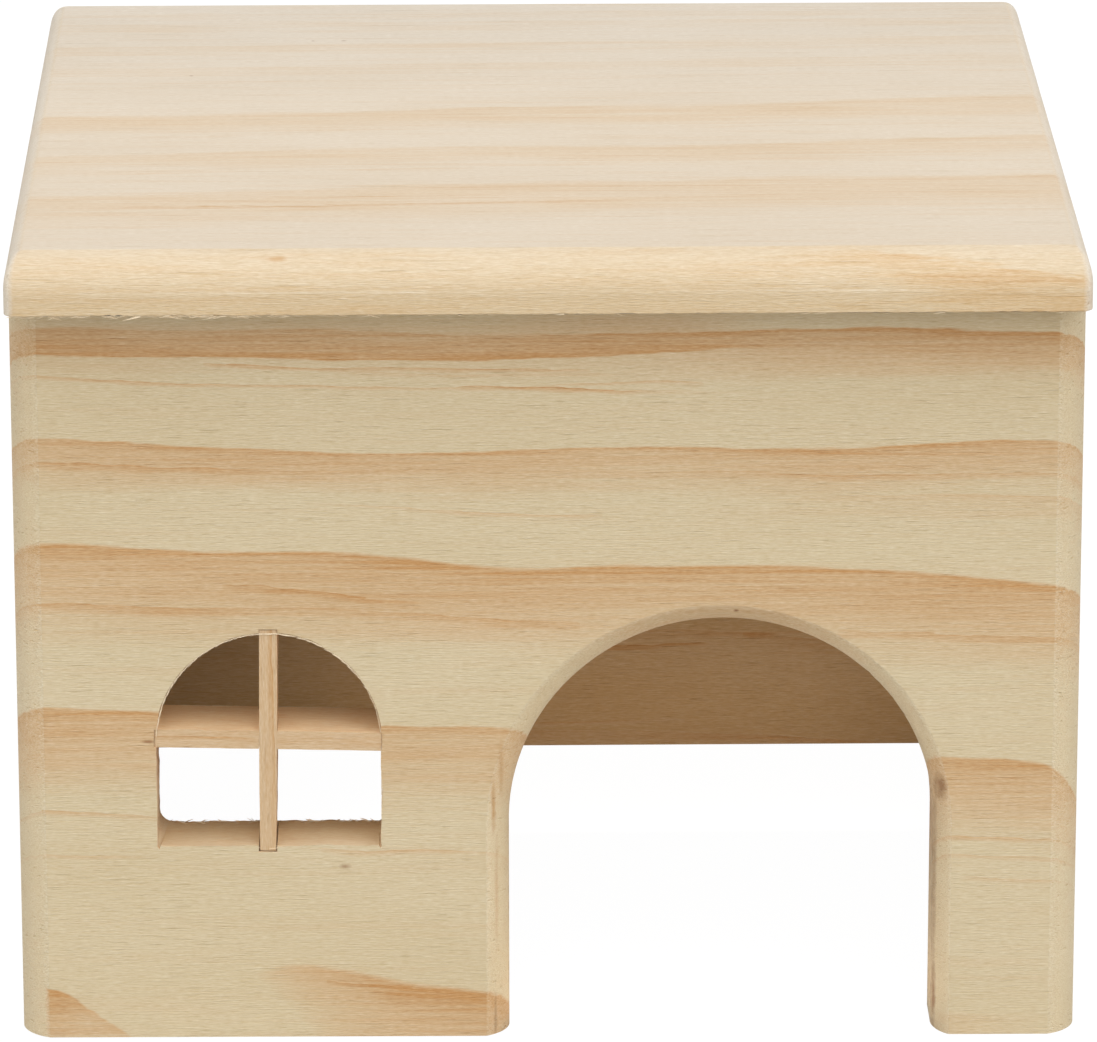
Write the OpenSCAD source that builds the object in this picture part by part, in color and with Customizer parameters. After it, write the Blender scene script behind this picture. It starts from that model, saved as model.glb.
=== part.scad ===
// Wooden hamster house: four solid pine boards doweled into a bottomless box under one
// roof board, with an arched doorway and a small barred window cut through the front board.
// Millimetres. X runs to the right as seen from the front, Y runs to the back, Z is up.
// The origin lies on the floor, under the middle of the roof board.

/* [Box] */
// Width over the front and back boards
body_w = 149.6; // [142:0.2:200]
// Depth from the front face to the back face
body_d = 140; // [110:1:200]
// Height of the four boards
wall_h = 108; // [92:1:150]
// Thickness of the four boards
wall_t = 12; // [10:0.5:16]
// Round-over on the upright outer corners of the box, as wide as it looks from the front
body_arris_w = 3.2; // [1:0.1:5]

/* [Roof] */
// Thickness of the roof board
roof_t = 8.5; // [7.5:0.5:14]
// How far the roof stands out past the front face
roof_front_lip = 5; // [0:0.5:15]
// How far the roof stands out past the back face
roof_back_lip = 5; // [0:0.5:15]
// How far the roof stands out past each side
roof_side_lip = 0.2; // [0:0.1:10]
// Round-over along the roof's front and back edges, as wide as it looks from above
roof_arris_w = 4.3; // [1:0.1:5]
// Round-over along the roof's two side edges, as wide as it looks from above
roof_side_arris_w = 2.4; // [1:0.1:5]
// Sanded radius of the roof's four upright corners
roof_corner_r = 1.5; // [0.5:0.1:5]

/* [Doorway] */
// Clear width of the doorway, whose top is a half circle
door_w = 60; // [50:0.2:66]
// Height from the floor to the top of the arch
door_h = 61.4; // [50:0.2:80]
// Width of board left between the doorway and the right edge
door_margin = 20.4; // [16:0.2:24]
// Round-over along the doorway's front edge, as wide as it looks from the front
door_arris_w = 2.8; // [1:0.1:4]

/* [Window] */
// Clear width of the window, whose top is a half circle
window_w = 31.8; // [24:0.2:36]
// Height of the window from its sill to its crown
window_h = 32; // [26:0.2:42]
// Height of the window sill above the floor
window_sill_z = 28.6; // [20:0.2:40]
// Width of board left between the window and the left edge
window_margin = 19.8; // [16:0.2:24]

/* [Window bars] */
// Thickness of each bar, as seen from the front
bar_t = 2.5; // [1.5:0.1:4]
// Depth of each bar, front to back
bar_d = 10.8; // [6:0.2:11.5]
// How far the bars stand back from the front face
bar_inset = 0.2; // [0:0.1:1]
// Depth of the notches in the window's edge that hold the bar ends
bar_notch = 0.5; // [0.3:0.1:1.5]
// Height of the cross bar's middle above the sill
bar_cross_z = 15.9; // [12:0.1:20]
// Clearance round a bar in its notches and in the half-lap
bar_gap = 0.05; // [0.02:0.01:0.15]

/* [Round-over bit] */
// Radius of the bit that rounded every edge, set too shallow to run out into the show face
bit_r = 6.2; // [5:0.1:7]

/* [Dowels] */
// Diameter of the hidden hardwood dowels
dowel_dia = 6; // [4:0.5:7]
// Length of each dowel
dowel_len = 20; // [16:1:26]
// How far a dowel reaches into the front or back board
dowel_board_bite = 8; // [5:0.5:8]
// How far a dowel reaches into the roof board
dowel_roof_bite = 5; // [3:0.5:5.5]
// Distance from a board's edge to the nearest dowel's axis
dowel_edge = 25; // [22:1:35]
// Chamfer on a dowel's two ends
dowel_chamfer = 0.8; // [0.3:0.1:1.2]
// Glue clearance round a dowel in its bore
dowel_gap = 0.05; // [0.02:0.01:0.15]
// Space for glue past each end of a dowel
dowel_end_gap = 0.5; // [0.2:0.1:1]

/* [Hidden] */

$fn = 96;
eps = 1;  // how far a cutter runs past the face that it cuts

left = -1;
right = 1;
front = -1;
back = 1;

roof_w = body_w + 2 * roof_side_lip;
roof_d = body_d + roof_front_lip + roof_back_lip;
front_y = -roof_d / 2 + roof_front_lip;
back_y = roof_d / 2 - roof_back_lip;
side_len = body_d - 2 * wall_t;
side_mid_y = (front_y + back_y) / 2;
side_mid_x = body_w / 2 - wall_t / 2;

door_r = door_w / 2;
door_x = body_w / 2 - door_margin - door_r;
door_spring_z = door_h - door_r;

window_r = window_w / 2;
window_x = -body_w / 2 + window_margin + window_r;

bar_front_y = front_y + bar_inset;
bar_slot_t = bar_t + 2 * bar_gap;
cross_mid_z = window_sill_z + bar_cross_z;
cross_len = window_w + 2 * (bar_notch - bar_gap);
upright_len = window_h + 2 * (bar_notch - bar_gap);
upright_mid_z = window_sill_z + window_h / 2;

pine = "#d0bd9c";
pine_top = "#e6d6c2";
pine_bar = "#d9c39c";
beech = "#d8b98c";

// ---- Shapes that the pieces share ----

// The waste that a round-over of radius r takes off a corner at the origin, where the board
// fills the quarter with x and y below zero. The round-over runs out smoothly into the side
// at x = 0, and is w wide across the show face at y = 0, which it meets at a crease
module arris_waste(w, r = bit_r) {
    depth = sqrt(r * r - (r - w) * (r - w));
    difference() {
        translate([-w, -depth]) square([w + eps, depth + eps]);
        translate([-r, -depth]) circle(r);
    }
}

// A plan or a section of width w and height h, standing on y = 0 about x = 0, with round-overs
// at its two upper corners that are arris wide across the top
module round_topped(w, h, arris) {
    difference() {
        translate([-w / 2, 0]) square([w, h]);
        for (side = [left, right])
            scale([side, 1, 1])
                translate([w / 2, h]) arris_waste(arris);
    }
}

// An upright opening of half width r, with its foot at z = 0 and its crown at z = h
module arched_opening(r, h) {
    translate([-r, 0]) square([2 * r, h - r]);
    translate([0, h - r]) circle(r);
}

// The front or back board before anything is cut in it, with its outer face on y = 0, its
// body behind that, and its two upright outer corners rounded
module end_board() {
    linear_extrude(wall_h)
        translate([0, wall_t])
            mirror([0, 1]) round_topped(body_w, wall_t, body_arris_w);
}

// What the round-over bit takes off on its way up one jamb of the doorway, round the arch
// and down the other, with the front face on y = 0 and the doorway's middle on x = 0
module doorway_arris_cut() {
    translate([0, 0, door_spring_z])
        rotate([90, 0, 0])
            rotate_extrude(angle = 180)
                translate([door_r, 0]) mirror([1, 0]) arris_waste(door_arris_w);
    for (side = [left, right])
        translate([side * door_r, 0, -eps])
            linear_extrude(door_spring_z + eps)
                scale([-side, -1, 1]) arris_waste(door_arris_w);
}

// One dowel along +Z, with its lower end at the origin
module dowel() {
    r = dowel_dia / 2;
    rotate_extrude()
        polygon([
            [0, 0], [r - dowel_chamfer, 0], [r, dowel_chamfer],
            [r, dowel_len - dowel_chamfer], [r - dowel_chamfer, dowel_len], [0, dowel_len]
        ]);
}

// The bore for a dowel that stands with its lower end at the origin, with room for glue
module dowel_bore() {
    translate([0, 0, -dowel_end_gap])
        cylinder(h = dowel_len + 2 * dowel_end_gap, r = dowel_dia / 2 + dowel_gap);
}

// Sets its children at the two dowels that join one end of a side board to the front or
// back board: side is left or right, end is front or back
module at_corner_dowels(side, end) {
    joint_y = end == front ? front_y + wall_t : back_y - wall_t;
    for (z = [dowel_edge, wall_h - dowel_edge])
        translate([side * side_mid_x, joint_y + end * dowel_board_bite, z])
            rotate([end * 90, 0, 0]) children();
}

// Sets its children at the two dowels that join the roof to one side board
module at_roof_dowels(side) {
    for (end = [front, back])
        translate([
            side * side_mid_x,
            side_mid_y + end * (side_len / 2 - dowel_edge),
            wall_h + dowel_roof_bite - dowel_len
        ])
            children();
}

// ---- The pieces ----

module roof() {
    color(pine_top)
    difference() {
        translate([0, 0, wall_h])
            intersection() {
                translate([0, roof_d / 2, 0]) rotate([90, 0, 0])
                    linear_extrude(roof_d) round_topped(roof_w, roof_t, roof_side_arris_w);
                translate([-roof_w / 2, 0, 0]) rotate([90, 0, 90])
                    linear_extrude(roof_w) round_topped(roof_d, roof_t, roof_arris_w);
                linear_extrude(roof_t)
                    difference() {
                        square([roof_w, roof_d], center = true);
                        for (sx = [left, right], sy = [front, back])
                            scale([sx, sy, 1])
                                translate([roof_w / 2, roof_d / 2])
                                    arris_waste(roof_corner_r, roof_corner_r);
                    }
            }
        for (side = [left, right])
            at_roof_dowels(side) dowel_bore();
    }
}

module front_wall() {
    color(pine)
    difference() {
        translate([0, front_y, 0]) end_board();
        translate([door_x, front_y + wall_t + eps, 0]) rotate([90, 0, 0])
            linear_extrude(wall_t + 2 * eps) {
                arched_opening(door_r, door_h);
                translate([-door_r, -eps]) square([door_w, 2 * eps]);
            }
        translate([door_x, front_y, 0]) doorway_arris_cut();
        translate([window_x, front_y + wall_t + eps, window_sill_z]) rotate([90, 0, 0])
            linear_extrude(wall_t + 2 * eps) arched_opening(window_r, window_h);
        window_bar_notches();
        for (side = [left, right])
            at_corner_dowels(side, front) dowel_bore();
    }
}

// The notches in the window's edge, cut from the front face, that the bar ends sit in
module window_bar_notches() {
    notch_d = bar_inset + bar_d + bar_gap;
    cross_w = window_w + 2 * bar_notch;
    upright_h = window_h + 2 * bar_notch;
    translate([window_x - cross_w / 2, front_y - eps, cross_mid_z - bar_slot_t / 2])
        cube([cross_w, notch_d + eps, bar_slot_t]);
    translate([window_x - bar_slot_t / 2, front_y - eps, upright_mid_z - upright_h / 2])
        cube([bar_slot_t, notch_d + eps, upright_h]);
}

module back_wall() {
    color(pine)
    difference() {
        translate([0, back_y, 0]) mirror([0, 1, 0]) end_board();
        for (side = [left, right])
            at_corner_dowels(side, back) dowel_bore();
    }
}

module side_wall(side) {
    color(pine)
    difference() {
        translate([side * side_mid_x - wall_t / 2, side_mid_y - side_len / 2, 0])
            cube([wall_t, side_len, wall_h]);
        for (end = [front, back])
            at_corner_dowels(side, end) dowel_bore();
        at_roof_dowels(side) dowel_bore();
    }
}

// The upright bar is whole at the front and slotted from behind
module window_bar_upright() {
    color(pine_bar)
    difference() {
        translate([window_x - bar_t / 2, bar_front_y, upright_mid_z - upright_len / 2])
            cube([bar_t, bar_d, upright_len]);
        translate([window_x - bar_t / 2 - eps, bar_front_y + bar_d / 2, cross_mid_z - bar_slot_t / 2])
            cube([bar_t + 2 * eps, bar_d / 2 + eps, bar_slot_t]);
    }
}

// The cross bar is slotted from the front, so the two lock as a half-lap
module window_bar_cross() {
    color(pine_bar)
    difference() {
        translate([window_x - cross_len / 2, bar_front_y, cross_mid_z - bar_t / 2])
            cube([cross_len, bar_d, bar_t]);
        translate([window_x - bar_slot_t / 2, bar_front_y - eps, cross_mid_z - bar_t / 2 - eps])
            cube([bar_slot_t, bar_d / 2 + bar_gap + eps, bar_t + 2 * eps]);
    }
}

module corner_dowels(side, end) {
    color(beech) at_corner_dowels(side, end) dowel();
}

module roof_dowels(side) {
    color(beech) at_roof_dowels(side) dowel();
}

roof();
front_wall();
back_wall();
side_wall(left);  // left_wall
side_wall(right);  // right_wall
window_bar_upright();
window_bar_cross();
corner_dowels(left, front);  // dowels_front_left
corner_dowels(right, front);  // dowels_front_right
corner_dowels(left, back);  // dowels_back_left
corner_dowels(right, back);  // dowels_back_right
roof_dowels(left);  // dowels_roof_left
roof_dowels(right);  // dowels_roof_right
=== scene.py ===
"""Dresses a wooden hamster house: planed pine boards with their grain, a routed doorway, a
sawn window with half-lapped bars, and a plain studio round them.

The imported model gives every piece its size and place. Lengths in this file are millimetres
unless a property says otherwise, and MM turns them into Blender's metres.
"""

import math
import random
from dataclasses import dataclass

import bmesh
import bpy
from mathutils import Matrix, Vector, noise


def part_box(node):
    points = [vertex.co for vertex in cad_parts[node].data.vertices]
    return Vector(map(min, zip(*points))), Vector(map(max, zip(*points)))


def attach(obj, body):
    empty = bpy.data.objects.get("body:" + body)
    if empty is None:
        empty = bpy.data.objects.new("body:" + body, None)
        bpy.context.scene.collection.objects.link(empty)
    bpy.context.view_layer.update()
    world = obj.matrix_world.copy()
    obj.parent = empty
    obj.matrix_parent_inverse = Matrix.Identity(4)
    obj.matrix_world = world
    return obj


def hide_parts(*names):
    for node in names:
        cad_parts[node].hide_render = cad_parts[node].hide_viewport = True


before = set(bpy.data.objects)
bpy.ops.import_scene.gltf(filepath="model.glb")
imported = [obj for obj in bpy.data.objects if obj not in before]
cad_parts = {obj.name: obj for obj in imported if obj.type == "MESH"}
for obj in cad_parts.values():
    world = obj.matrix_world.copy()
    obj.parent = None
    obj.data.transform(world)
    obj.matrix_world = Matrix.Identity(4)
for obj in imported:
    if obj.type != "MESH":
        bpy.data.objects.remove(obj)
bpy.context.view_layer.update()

bl_info = {
    "name": "Wooden hamster house",
    "version": (1, 0, 0),
    "blender": (4, 5, 0),
    "location": "View3D > Sidebar > Hamster House",
    "description": "Makes the boards, window bars and studio of a pine hamster house",
    "category": "Object",
}

MM = 0.001
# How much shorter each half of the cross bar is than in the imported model, in millimetres
CROSS_TRIM = 0.4


def linear(hex_colour):
    """The linear red, green and blue of an sRGB colour such as "#d0bd9c"."""
    channels = [int(hex_colour[i : i + 2], 16) / 255 for i in (1, 3, 5)]
    return [c / 12.92 if c <= 0.04045 else ((c + 0.055) / 1.055) ** 2.4 for c in channels]


def colour_property(name, description, hex_colour):
    """A colour that a user can change, given as an sRGB hex value."""
    return bpy.props.FloatVectorProperty(
        name=name,
        description=description,
        subtype="COLOR",
        size=3,
        min=0.0,
        max=1.0,
        default=linear(hex_colour),
    )


def length_property(name, description, millimetres):
    """A length that a user can change."""
    return bpy.props.FloatProperty(
        name=name, description=description, unit="LENGTH", min=0.0, default=millimetres * MM
    )


# ---- What a user would change ----


class HouseSizes(bpy.types.PropertyGroup):
    bit: length_property("Round-over bit", "Radius of the bit that rounded the edges", 6.2)
    roof_arris: length_property(
        "Roof arris", "Width of the round-over on the roof's front and back, from above", 4.3
    )
    roof_side_arris: length_property(
        "Roof side arris", "Width of the round-over on the roof's sides, from above", 2.4
    )
    roof_corner: length_property("Roof corner", "Radius of the roof's upright corners", 1.5)
    body_arris: length_property(
        "Box arris", "Width of the round-over on the front board's upright edges", 4.0
    )
    door_arris: length_property(
        "Doorway arris", "Width of the round-over round the doorway", 2.8
    )
    crease: length_property(
        "Crease", "How far sandpaper broke the crease of a round-over", 0.16
    )
    eased_edge: length_property(
        "Eased edge", "How far sandpaper took the sharp edges off", 0.25
    )
    crown_sag: length_property(
        "Crown sag", "How far the doorway's crown was cut below its true half circle", 0.3
    )
    short_leg: length_property(
        "Short leg", "How much the front board's bottom was cut away at its left end", 0.4
    )
    saw_shift: length_property(
        "Saw shift", "How far to the left the fretsaw and the bars ended up", 0.25
    )
    saw_wander: length_property(
        "Saw wander", "How far the fretsaw strayed from the window's outline", 0.16
    )
    notch_slack: length_property(
        "Notch slack", "Gap round the bar ends where they sit in the window's edge", 0.05
    )
    cross_tilt: bpy.props.FloatProperty(
        name="Cross bar tilt",
        description="How far the cross bar was glued out of level",
        subtype="ANGLE",
        default=math.radians(1.3),
    )
    upright_tilt: bpy.props.FloatProperty(
        name="Upright bar tilt",
        description="How far the upright bar was glued out of plumb",
        subtype="ANGLE",
        default=math.radians(0.6),
    )


class HouseColours(bpy.types.PropertyGroup):
    earlywood: colour_property("Earlywood", "Pale wood between the latewood bands", "#d1c09e")
    latewood: colour_property("Latewood", "Body of a latewood band", "#cdb089")
    ring_edge: colour_property("Ring edge", "Sharp dark edge of a band", "#c0935f")
    # Painted shade: the back board's pale wood is darker and warmer than the other boards',
    # standing in for the dim warm light inside the house
    back_wood_warm_shade: colour_property("Back earlywood", "Pale wood of the back board", "#c9aa7f")
    roof_earlywood: colour_property("Roof earlywood", "Pale wood of the roof board", "#d8c9b4")
    roof_latewood: colour_property("Roof latewood", "Soft bands of the roof board", "#d5bea0")
    scorch: colour_property("Scorch", "Where the router bit rubbed and burnt", "#8a5c33")
    burr: colour_property("Burr", "Torn fibres that stand up at a cut edge", "#ead8ba")
    slat: colour_property("Bar wood", "Sawn slats of the window bars", "#cfb28d")
    beech: colour_property("Beech", "Hidden dowels", "#d8b98c")
    floor: colour_property("Floor", "Studio floor", "#cbc9c4")


# ---- Small tools for materials ----


def add(tree, kind, *values, named=None, out=0, ramp=None, curve=None, **settings):
    """Adds a shader node to a tree and returns one of its outputs.

    values fill the sockets in order and named fills them by name or number, each with a
    value or another node's output. ramp is a list of (place, colour or grey) stops, and
    curve a list of (in, out) points.
    """
    made = tree.nodes.new("ShaderNode" + kind)
    for name, value in settings.items():
        setattr(made, name, value)
    for socket, value in [*enumerate(values), *(named or {}).items()]:
        if isinstance(value, bpy.types.NodeSocket):
            tree.links.new(value, made.inputs[socket])
        else:
            made.inputs[socket].default_value = value
    if ramp:
        stops = made.color_ramp.elements
        while len(stops) < len(ramp):
            stops.new(0.5)
        for stop, (place, colour) in zip(stops, ramp):
            stop.position = place
            grey = isinstance(colour, (int, float))
            stop.color = (colour, colour, colour, 1.0) if grey else (*colour, 1.0)
    if curve:
        mapping = made.mapping
        points = mapping.curves[0].points
        while len(points) < len(curve):
            points.new(0.5, 0.5)
        for point, place in zip(points, curve):
            point.location = place
        mapping.update()
    return made.outputs[out] if made.outputs else None


def new_material(name):
    """An empty node material and the tree inside it."""
    material = bpy.data.materials.new(name)
    material.use_nodes = True
    material.node_tree.nodes.clear()
    return material, material.node_tree


# ---- How the grain lies in each board, and what the tools left on it ----


@dataclass
class Board:
    """How the grain lies in one board. Vectors are the frame's, lengths are millimetres."""

    grain: Vector  # unit vector along the grain
    across: Vector  # unit vector across it, in the plane of the show face
    depth: Vector  # unit vector from the show face into the board
    start: Vector  # point of the show face that places and heights count from
    reach: float  # how far the board runs along its grain
    rise: float  # how far it runs across its grain
    low_edge: float  # where that run begins, as a height
    ring_slope: float  # how steeply the rings go down into the board


@dataclass
class Band:
    """One latewood band, or one fine resin streak where fade is short."""

    fade: float  # how far it runs on below its sharp edge, or above it where negative
    line: list  # (place along the grain, height of the sharp edge, how dark it is)
    slant: float = 0.0  # how far its ends lean along the grain, per millimetre below the edge


@dataclass
class Mark:
    """A small stain on a board. Places and sizes are millimetres."""

    along: float  # its middle, along the grain
    across: float  # its middle, across the grain
    half_along: float
    half_across: float
    strength: float  # how much of the wood's colour it covers
    burnt: bool = True  # whether it is a burn, or only resin


@dataclass
class Worked:
    """How a board was planed, routed, sawn and sanded, and where shade and highlights are painted
    on it. Lengths are millimetres.
    """

    seed: float  # makes the board's streaks its own
    softness: float = 0.035  # how blurred a band's sharp edge is, as a share of its fade
    wobble: float = 0.2  # how far that edge strays
    contrast: float = 1.0  # scales all the bands
    peak: float = 1.0  # how dark a band is at its edge
    body: float = 0.42  # how dark it is past its middle
    lines: tuple = (26.0, 0.55, 0.05)  # length, width and strength of fine tan streaks
    dash: tuple = (4.5, 0.2)  # length and width of dark resin dashes
    drift: tuple = (1, 1, 1)  # multiplies the colour at the far end across the grain, a painted shade
    far_shade_from: float = 0.5  # the share of the board where that painted shade begins
    routed: tuple = (1, 1, 1)  # multiplies the colour where the bit or the saw cut
    cut_from: float = 0.0  # how much of that shows next to the crease
    fuzz: float = 0.05  # how rough such a cut is
    crease_highlight: float = 0.5  # how far the painted highlight, a pale line, reaches down from the crease
    highlight_ridge: float = None  # how deep below the show face the bit left a faint line, which is painted as a highlight
    burn: tuple = None  # where the bit rubbed: depth, middle and half width along the grain
    sawn: tuple = None  # where the saw cut: both ends along the grain, colour multiplier, which paints light on the sawn faces as well as giving their own tone
    end: str = "#dbc5a6"  # colour of end grain
    bleach: float = 0.28  # how far that colour shows
    end_tint: tuple = (1, 1, 1)  # multiplies the colour of end grain


# The front board: heights above the floor, places from the middle of the board
FRONT_BANDS = [
    Band(-6.6, [(-75, 101.0, 0.7), (-40, 100.5, 0.75), (-20, 100.1, 0.8), (5, 100.6, 0.8),
                (22, 101.2, 0.5), (40, 101.5, 0.0), (75, 101.5, 0.0)]),
    Band(7.5, [(-75, 105.4, 0.4), (-25, 104.6, 0.4), (5, 104.0, 0.45), (25, 104.0, 0.8),
               (40, 104.6, 1.0), (60, 104.0, 1.0), (75, 103.2, 1.0)]),
    Band(0.7, [(-75, 98.4, 0.3), (-66, 98.1, 0.6), (-50, 97.1, 0.8), (-21, 96.5, 0.65),
               (0, 95.9, 1.0), (10, 95.4, 0.6), (22, 95.6, 0.1), (40, 96.0, 0.0)]),
    Band(0.7, [(-48, 99.9, 0.0), (-41, 99.6, 0.9), (-27, 99.3, 0.7), (-14, 99.1, 0.9),
               (-2, 98.8, 0.7), (6, 98.6, 0.0)]),
    Band(0.6, [(-30, 99.0, 0.0), (-15, 98.3, 0.35), (0, 98.0, 0.25), (10, 97.9, 0.0)]),
    Band(0.5, [(-8, 96.2, 0.0), (4, 96.3, 0.5), (14, 96.8, 0.55), (22, 96.6, 0.0)]),
    Band(7.6, [(-75, 89.4, 0.75), (-60, 88.6, 0.85), (-42, 87.8, 0.85), (-20, 86.8, 0.8),
               (10, 87.1, 0.8), (35, 87.1, 0.85), (60, 88.2, 0.85), (75, 87.6, 0.8)]),
    Band(1.1, [(-75, 85.6, 0.15), (-60, 85.2, 0.5), (-48, 85.0, 0.6), (-36, 84.6, 0.15),
               (20, 83.4, 0.15), (42, 83.2, 0.4), (70, 83.2, 0.35)]),
    Band(0.6, [(-34, 79.4, 0.0), (-26, 79.1, 0.3), (0, 78.0, 0.45), (8, 77.8, 0.0)]),
    Band(4.0, [(20, 79.5, 0.0), (50, 80.5, 0.25), (75, 80.0, 0.45)]),
    Band(15.0, [(-75, 73.8, 0.85), (-64, 73.8, 0.9), (-45, 73.0, 0.9), (-25, 72.0, 0.95),
                (-4, 70.0, 0.95), (14, 70.6, 0.9), (42, 69.7, 0.9), (60, 68.2, 0.95),
                (75, 67.0, 0.85)]),
    Band(1.6, [(-75, 65.0, 0.35), (-55, 64.6, 0.5), (-35, 64.2, 0.2), (-10, 62.6, 0.35),
               (5, 61.8, 0.1)]),
    Band(1.0, [(-46, 67.8, 0.0), (-38, 67.0, 0.4), (-27, 65.6, 0.45), (-18, 64.9, 0.0)]),
    Band(1.3, [(40, 60.5, 0.0), (52, 60.0, 0.35), (70, 59.4, 0.4), (75, 59.3, 0.3)]),
    Band(13.5, [(-75, 49.8, 1.0), (-60, 49.5, 0.95), (-50, 48.8, 0.9), (-30, 47.1, 0.8),
                (-6, 46.6, 0.8), (20, 44.8, 0.7), (56, 41.8, 0.85), (66, 41.1, 0.85),
                (71, 40.0, 0.8), (75, 36.6, 0.8)]),
    Band(0.9, [(-75, 34.6, 0.3), (-64, 34.2, 0.55), (-52, 33.6, 0.15), (-40, 33.3, 0.0)]),
    Band(0.8, [(-75, 28.3, 0.15), (-64, 27.9, 0.4), (-54, 27.6, 0.0), (-36, 28.7, 0.0),
               (-28, 28.4, 0.5), (-8, 27.9, 0.35), (0, 27.8, 0.0)]),
    Band(0.8, [(52, 30.2, 0.3), (60, 30.0, 0.5), (70, 29.6, 0.4), (75, 29.4, 0.2)]),
    Band(0.7, [(52, 27.4, 0.1), (60, 27.1, 0.5), (71, 26.6, 0.4), (75, 26.5, 0.1)]),
    Band(0.7, [(58, 23.7, 0.0), (65, 23.5, 0.45), (71, 23.2, 0.35), (75, 23.2, 0.0)]),
    Band(26.0, [(-42.5, 9.8, 0.0), (-40, 10.6, 0.3), (-36, 11.5, 0.5), (-30, 10.9, 0.65),
                (-19, 8.3, 0.9), (-5, 6.9, 1.0), (10, 6.0, 0.9)], slant=0.84),
    Band(0.6, [(-32, 8.6, 0.0), (-27, 8.2, 0.5), (-15, 6.9, 0.7), (0, 5.9, 0.3)]),
    Band(0.5, [(-26, 7.0, 0.0), (-18, 6.4, 0.5), (-9, 5.6, 0.0)]),
    Band(12.0, [(-75, 8.4, 0.0), (-71.4, 7.9, 0.05), (-70.9, 7.7, 1.0), (-68.5, 6.9, 0.9),
                (-65, 4.4, 0.6), (-60, 0.9, 0.5), (-56, -2.0, 0.0)]),
]

# The roof board: places from its middle, towards the back in the band's height
ROOF_BANDS = [
    Band(6.0, [(-75, 66.0, 0.3), (0, 66.0, 0.35), (75, 68.0, 0.4)]),
    Band(7.0, [(-75, 58.5, 0.25), (0, 60.0, 0.35), (75, 62.0, 0.45)]),
    Band(8.0, [(-75, 45.0, 0.5), (-6, 46.5, 0.5), (75, 50.5, 0.45)]),
    Band(7.0, [(-75, 31.5, 0.45), (-6, 34.0, 0.45), (75, 38.0, 0.4)]),
    Band(1.0, [(-75, 22.0, 0.3), (-62, 22.6, 0.55), (-45, 22.8, 0.4), (-15, 23.5, 0.2),
               (75, 28.0, 0.3)]),
    Band(0.9, [(-55, 14.5, 0.0), (-42, 15.2, 0.35), (-28, 16.0, 0.15), (75, 20.0, 0.0)]),
    Band(14.0, [(-75, 3.7, 0.8), (-27, 5.5, 0.8), (2, 7.8, 0.85), (28, 8.1, 0.85),
                (48, 10.9, 0.85), (75, 13.6, 0.8)]),
    Band(1.0, [(-70, -10.0, 0.0), (-60, -9.5, 0.3), (-47, -9.0, 0.4), (-30, -8.0, 0.0),
               (10, -6.0, 0.3), (40, -4.5, 0.35), (75, -3.0, 0.2)]),
    Band(13.0, [(-75, -20.4, 0.65), (-42, -17.5, 0.7), (2, -14.8, 0.8), (28, -14.5, 0.8),
                (48, -12.5, 0.8), (75, -8.8, 0.75)]),
    Band(1.0, [(-66, -30.5, 0.0), (-58, -30.0, 0.55), (-49, -29.5, 0.5), (-42, -29.2, 0.1),
               (-28, -28.4, 0.5), (-18, -27.6, 0.4), (75, -20.0, 0.0)]),
    Band(22.0, [(-75, -41.3, 0.7), (-51, -40.3, 0.75), (-31, -37.4, 0.8), (2, -35.0, 0.85),
                (30, -32.9, 0.85), (75, -31.7, 0.85)]),
    Band(1.6, [(-70, -49.0, 0.0), (-58, -48.6, 0.5), (-38, -48.0, 0.65), (-20, -47.0, 0.5),
               (0, -46.0, 0.5), (30, -43.0, 0.2), (75, -40.0, 0.0)]),
    Band(0.8, [(-40, -44.0, 0.0), (-20, -43.0, 0.45), (-5, -42.2, 0.0)]),
    Band(5.0, [(-75, -72.5, 0.2), (20, -73.0, 0.15), (40, -71.5, 0.6), (56, -73.8, 1.0),
               (75, -76.0, 1.0)]),
]

# A board that the photograph doesn't show: rings at about the front board's spacing
PLAIN_BANDS = [
    Band(6.0, [(-75, 99.0, 0.6), (-30, 101.0, 0.65), (20, 100.0, 0.6), (75, 97.0, 0.65)]),
    Band(9.0, [(-75, 82.0, 0.75), (-35, 84.0, 0.8), (10, 84.5, 0.75), (75, 80.0, 0.8)]),
    Band(1.0, [(-60, 73.0, 0.0), (-30, 74.5, 0.5), (15, 74.0, 0.4), (50, 72.0, 0.0)]),
    Band(12.0, [(-75, 66.0, 0.8), (-30, 68.5, 0.75), (15, 69.0, 0.8), (75, 64.5, 0.8)]),
    Band(0.9, [(-30, 55.0, 0.0), (5, 56.0, 0.5), (40, 54.5, 0.3), (60, 54.0, 0.0)]),
    Band(13.0, [(-75, 48.0, 0.75), (-25, 50.5, 0.8), (20, 50.0, 0.75), (75, 46.0, 0.8)]),
    Band(1.2, [(-75, 38.0, 0.4), (-40, 39.5, 0.5), (-10, 40.0, 0.1), (75, 38.0, 0.0)]),
    Band(11.0, [(-75, 29.0, 0.7), (-25, 31.5, 0.75), (25, 31.0, 0.75), (75, 26.0, 0.7)]),
    Band(9.0, [(-75, 13.0, 0.65), (-25, 14.5, 0.7), (25, 14.0, 0.7), (75, 10.0, 0.65)]),
]

# Resin streaks low on the inside of the back board, which show through the doorway
BACK_STREAKS = [
    Band(0.9, [(2, 28.2, 0.0), (8, 28.4, 0.9), (18, 28.6, 0.7), (27, 28.9, 0.0)]),
    Band(1.0, [(-4, 15.6, 0.6), (4, 15.8, 1.0), (16, 16.1, 0.8), (24, 16.4, 0.0)]),
    Band(0.8, [(32, 30.3, 0.0), (37, 30.5, 0.9), (44, 30.8, 0.7), (50, 31.0, 0.0)]),
]

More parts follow.
